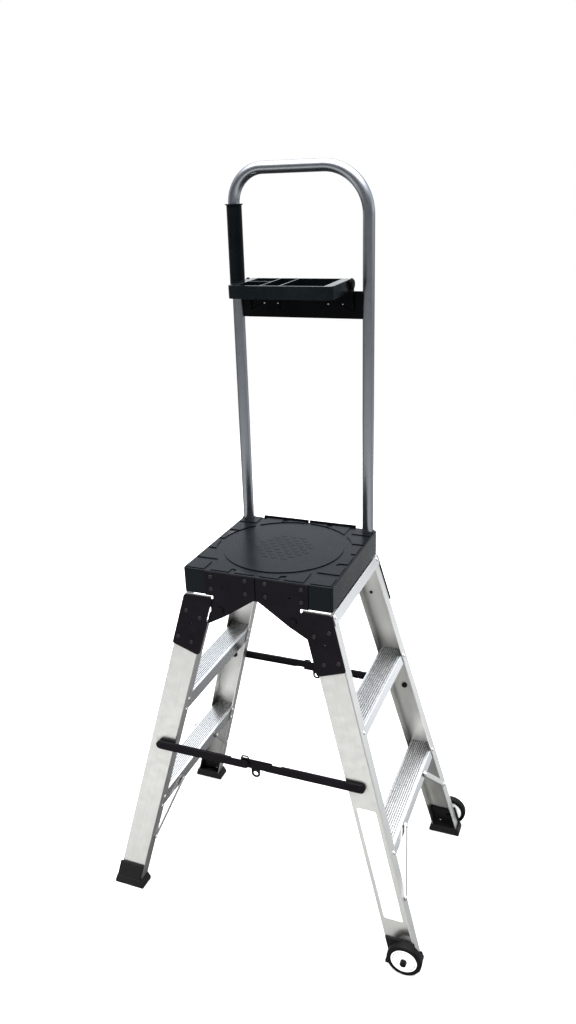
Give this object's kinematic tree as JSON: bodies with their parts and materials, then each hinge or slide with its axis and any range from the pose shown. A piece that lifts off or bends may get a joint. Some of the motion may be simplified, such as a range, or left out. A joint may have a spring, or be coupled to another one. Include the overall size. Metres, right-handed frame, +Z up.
{
  "type": "library ladder",
  "caption": "Folding platform step ladder with treads on both sides, hinged spreaders, a tall handrail with a fold-up tool tray, and transport wheels on one side.",
  "frame": {"origin": "on the floor, under the middle of the platform", "axes": "+Z up, +X from the middle to the leg frame that has the wheels, +Y from the middle to the edge of the platform that carries the handrail"},
  "size_m": [0.788, 0.5458, 1.6802],
  "materials": {
    "bare_aluminium": "satin extruded aluminium, drawn along its length",
    "black_steel": "black powder coat with a fine grain",
    "black_plastic": "textured moulding",
    "black_rubber": "matte moulding",
    "black_tyre": "smooth solid tyre",
    "white_plastic": "smooth moulding"
  },
  "bodies": {
    "platform_and_handrail": {"platform": "black_plastic", "gusset_plate_front_right": "black_steel", "gusset_plate_front_left": "black_steel", "gusset_plate_back_right": "black_steel", "gusset_plate_back_left": "black_steel", "fold_bolt_front_right": "black_steel", "fold_bolt_front_left": "black_steel", "fold_bolt_back_right": "black_steel", "fold_bolt_back_left": "black_steel", "handrail": "bare_aluminium", "handrail_grip": "black_rubber", "handrail_crossbar": "black_steel", "tray_bracket_right": "black_steel", "tray_bracket_left": "black_steel"},
    "right_leg_frame": {"stile_front_right": "bare_aluminium", "stile_back_right": "bare_aluminium", "stile_cap_front_right": "black_steel", "stile_cap_back_right": "black_steel", "foot_front_right": "black_rubber", "foot_back_right": "black_rubber", "top_rail_right": "bare_aluminium", "tread_lower_right": "bare_aluminium", "tread_upper_right": "bare_aluminium", "brace_outer_front_right": "bare_aluminium", "brace_outer_back_right": "bare_aluminium", "brace_inner_front_right": "bare_aluminium", "brace_inner_back_right": "bare_aluminium", "wheel_axle_front": "black_steel", "wheel_axle_back": "black_steel"},
    "left_leg_frame": {"stile_front_left": "bare_aluminium", "stile_back_left": "bare_aluminium", "stile_cap_front_left": "black_steel", "stile_cap_back_left": "black_steel", "foot_front_left": "black_rubber", "foot_back_left": "black_rubber", "top_rail_left": "bare_aluminium", "tread_lower_left": "bare_aluminium", "tread_upper_left": "bare_aluminium", "brace_outer_front_left": "bare_aluminium", "brace_outer_back_left": "bare_aluminium", "brace_inner_front_left": "bare_aluminium", "brace_inner_back_left": "bare_aluminium"},
    "wheel_front": {"wheel_tyre_front": "black_tyre", "wheel_disc_front": "white_plastic"},
    "wheel_back": {"wheel_tyre_back": "black_tyre", "wheel_disc_back": "white_plastic"},
    "front_bar_right": {"spreader_bar_front_right": "black_steel"},
    "front_bar_left": {"spreader_bar_front_left": "black_steel"},
    "front_plate": {"spreader_plate_front": "black_steel"},
    "back_bar_right": {"spreader_bar_back_right": "black_steel"},
    "back_bar_left": {"spreader_bar_back_left": "black_steel"},
    "back_plate": {"spreader_plate_back": "black_steel"},
    "tray": {"tool_tray": "black_plastic"}
  },
  "joints": [
    {"name": "right_leg_fold", "type": "hinge", "parent": "platform_and_handrail", "child": "right_leg_frame", "pos_m": [0.084, 0, 0.778], "axis": [0, 1, 0], "range_deg": [0, 21]},
    {"name": "left_leg_fold", "type": "hinge", "parent": "platform_and_handrail", "child": "left_leg_frame", "pos_m": [-0.084, 0, 0.778], "axis": [0, 1, 0], "range_deg": [-21, 0]},
    {"name": "front_bar_right_fold", "type": "hinge", "parent": "right_leg_frame", "child": "front_bar_right", "pos_m": [0.2419, -0.206, 0.424], "axis": [0, 1, 0], "range_deg": [0, 48]},
    {"name": "front_bar_left_fold", "type": "hinge", "parent": "left_leg_frame", "child": "front_bar_left", "pos_m": [-0.2419, -0.206, 0.424], "axis": [0, 1, 0], "range_deg": [-48, 0]},
    {"name": "front_plate_turn", "type": "hinge", "parent": "front_bar_right", "child": "front_plate", "pos_m": [0.026, -0.206, 0.424], "axis": [0, 1, 0], "range_deg": [-69, 0]},
    {"name": "back_bar_right_fold", "type": "hinge", "parent": "right_leg_frame", "child": "back_bar_right", "pos_m": [0.2365, 0.206, 0.441], "axis": [0, 1, 0], "range_deg": [0, 47]},
    {"name": "back_bar_left_fold", "type": "hinge", "parent": "left_leg_frame", "child": "back_bar_left", "pos_m": [-0.2365, 0.206, 0.441], "axis": [0, 1, 0], "range_deg": [-47, 0]},
    {"name": "back_plate_turn", "type": "hinge", "parent": "back_bar_right", "child": "back_plate", "pos_m": [0.026, 0.206, 0.441], "axis": [0, 1, 0], "range_deg": [-68, 0]},
    {"name": "front_wheel_spin", "type": "hinge", "parent": "right_leg_frame", "child": "wheel_front", "pos_m": [0.358, -0.254, 0.0395], "axis": [0, 1, 0], "continuous": true},
    {"name": "back_wheel_spin", "type": "hinge", "parent": "right_leg_frame", "child": "wheel_back", "pos_m": [0.358, 0.254, 0.0395], "axis": [0, 1, 0], "continuous": true},
    {"name": "tray_fold", "type": "hinge", "parent": "platform_and_handrail", "child": "tray", "pos_m": [0, 0.133, 1.432], "axis": [-1, 0, 0], "range_deg": [0, 90]}
  ],
  "couplings": [
    {"joint": "left_leg_fold", "follows": "right_leg_fold", "ratio": -1},
    {"joint": "front_bar_right_fold", "follows": "right_leg_fold", "ratio": 2.27},
    {"joint": "front_bar_left_fold", "follows": "right_leg_fold", "ratio": -2.27},
    {"joint": "front_plate_turn", "follows": "right_leg_fold", "ratio": -3.27},
    {"joint": "back_bar_right_fold", "follows": "right_leg_fold", "ratio": 2.2277},
    {"joint": "back_bar_left_fold", "follows": "right_leg_fold", "ratio": -2.2277},
    {"joint": "back_plate_turn", "follows": "right_leg_fold", "ratio": -3.2276}
  ]
}
